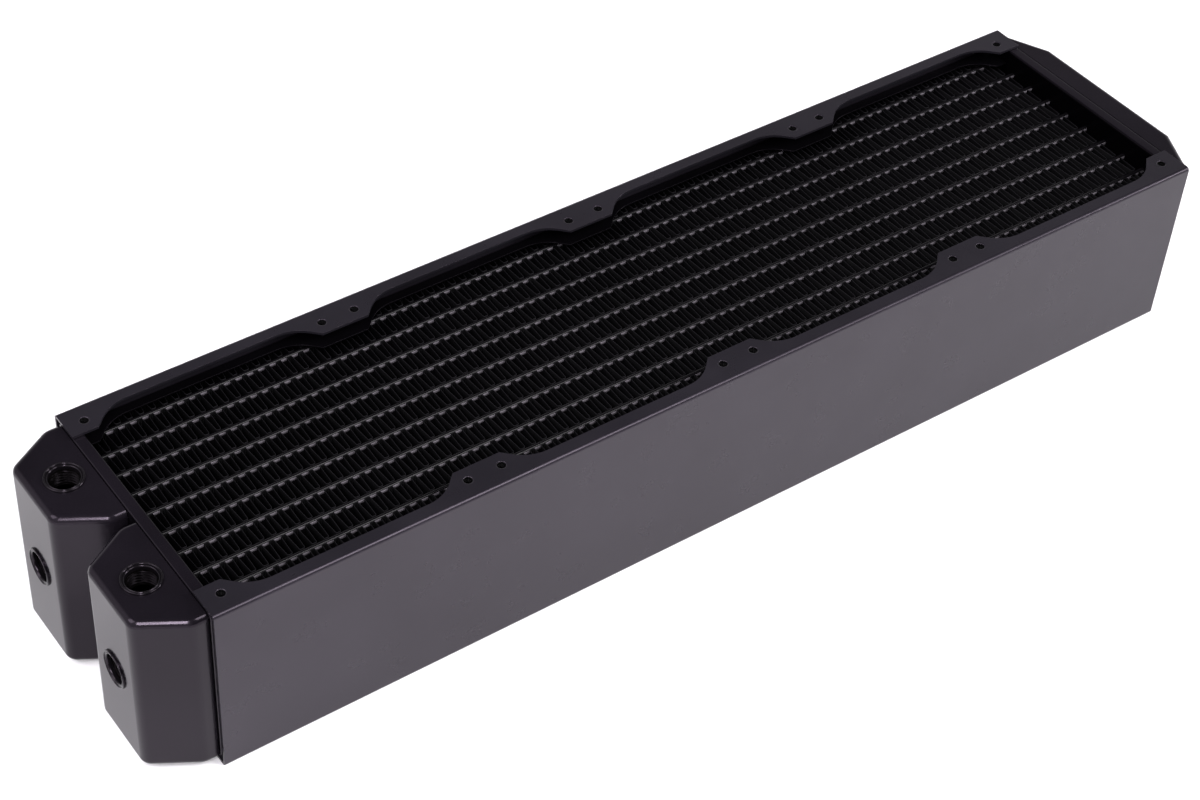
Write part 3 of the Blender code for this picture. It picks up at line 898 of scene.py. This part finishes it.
def build_ports():
    """Inserts in every port, each a rounded collar and the thread below it."""
    top = -COLLAR_DEPTH
    collar = [(PORT_SEAT - TOUCH, top, 0), (PORT_SEAT - TOUCH, COLLAR_FACE[0][1], 0)]
    collar += [(radius, level, 0) for radius, level in COLLAR_FACE]
    collar += [(COLLAR_FACE[-1][0] - TOUCH, top, 0)]
    top -= TOUCH
    thread = [(PORT_SEAT - TOUCH, -PORT_DEPTH, 0), (PORT_SEAT - TOUCH, top, 0)]
    thread += thread_rows(PORT_MINOR, PORT_MAJOR - PORT_MINOR, PORT_PITCH, top, -PORT_DEPTH)
    parts = (("port_collar", collar, PORT_PLATING), ("port_thread", thread, PORT_THREAD))
    for side in ("rear", "front"):
        for seat_name, seat in port_seats(side).items():
            for name, profile, coat in parts:
                bm = bmesh.new()
                add_loops(bm, turned_loops(profile, PORT_SIDES, seat, PORT_PITCH), close_ends=False)
                piece = new_object(bm, f"{name}_{side}_{seat_name}")
                show(piece, coat, f"port_insert_{side}_{seat_name}")
                piece.data.set_sharp_from_angle(angle=SOFT_EDGE_ANGLE)


# ---------------------------------------------------------------- studio


def pale_floor():
    """A wide pale floor under the radiator."""
    material = bpy.data.materials.new("pale_floor")
    material.use_nodes = True
    tree = material.node_tree
    shader = tree.nodes["Principled BSDF"]
    where = tree.nodes.new("ShaderNodeTexCoord").outputs["Object"]
    tone = spread_of(tree, noise_of(tree, where, 3.0), 0.0, 1.0)
    link(tree, mix_of(tree, tone, *FLOOR_TONES), shader.inputs["Base Color"])
    shader.inputs["Roughness"].default_value = FLOOR_ROUGHNESS
    bm = bmesh.new()
    corners = ((-1, -1), (1, -1), (1, 1), (-1, 1))
    bm.faces.new([bm.verts.new((x * FLOOR_HALF, y * FLOOR_HALF, 0)) for x, y in corners])
    floor = new_object(bm, "floor")
    floor.data.materials.append(material)


def area_light(name, place, aim_x, size, power, colour=LIGHT_CAST):
    """A soft rectangular light that looks at a point of the radiator's axis."""
    data = bpy.data.lights.new(name, "AREA")
    data.shape = "RECTANGLE"
    data.size, data.size_y = size
    data.energy = power
    data.color = colour
    lamp = bpy.data.objects.new(name, data)
    bpy.context.scene.collection.objects.link(lamp)
    lamp.location = place
    lamp.rotation_mode = "QUATERNION"
    look = Vector((aim_x, 0, LIGHT_HEIGHT)) - Vector(place)
    lamp.rotation_quaternion = look.to_track_quat("-Z", "Y")


def toward(azimuth, elevation, distance):
    """A point seen from the middle of the radiator; azimuth 0 is the front, 90 the return end."""
    turn, rise = math.radians(azimuth), math.radians(elevation)
    return (distance * math.sin(turn) * math.cos(rise), -distance * math.cos(turn) * math.cos(rise),
            distance * math.sin(rise))


def studio_air():
    """Surroundings: bright low at the back and on the left, dim in front and overhead."""
    world = bpy.data.worlds.new("studio_air")
    bpy.context.scene.world = world
    world.use_nodes = True
    tree = world.node_tree
    background = tree.nodes["Background"]
    direction = tree.nodes.new("ShaderNodeTexCoord").outputs["Generated"]
    split = tree.nodes.new("ShaderNodeSeparateXYZ")
    link(tree, direction, split.inputs["Vector"])
    upward = spread_of(tree, split.outputs["Z"], 0.0, 1.0, 0.24, 0.64)
    frontward = spread_of(tree, split.outputs["Y"], 1.0, 0.0, -0.15, 0.25)
    leftward = spread_of(tree, split.outputs["X"], 1.0, 0.0, -0.45, -0.10)
    tone = mix_of(tree, upward, BACK_TONE, CEILING_TONE)
    tone = mix_of(tree, frontward, tone, FRONT_TONE)
    tone = mix_of(tree, leftward, tone, LEFT_TONE)
    link(tree, tone, background.inputs["Color"])
    background.inputs["Strength"].default_value = 1.0


def studio():
    """A low key light on the right, softboxes in front and on the left, and a strip for the rims."""
    area_light("key_softbox", toward(62, 24, 4.0), 0, (1.00, 1.00), 118)
    area_light("front_softbox", toward(31, 50, 3.5), 0, (1.00, 1.90), 82, (1.0, 0.99, 1.0))
    area_light("left_softbox", toward(-105, 48, 2.0), -0.20, (1.10, 1.10), 20)
    area_light("rim_strip", toward(-42, 45, 2.0), -0.25, (0.16, 1.10), 28)
    studio_air()


def camera():
    """The camera, on the near left above the port tanks."""
    data = bpy.data.cameras.new("camera")
    data.lens = CAMERA_LENS
    data.shift_x = CAMERA_SHIFT
    data.clip_start = 0.05
    data.clip_end = 50
    view = bpy.data.objects.new("camera", data)
    bpy.context.scene.collection.objects.link(view)
    aim = (Vector(CAMERA_AIM) - Vector(CAMERA_PLACE)).to_track_quat("-Z", "Y").to_matrix().to_4x4()
    view.matrix_world = Matrix.Translation(CAMERA_PLACE) @ aim @ Matrix.Rotation(CAMERA_ROLL, 4, "Z")
    bpy.context.scene.camera = view
    bpy.context.scene.view_settings.view_transform = "Standard"


def main():
    """Build every piece, then the studio."""
    build_sides()
    build_tubes()
    build_fins()
    build_headers()
    build_port_tanks()
    build_return_tank()
    build_ports()
    pale_floor()
    studio()
    camera()


main()
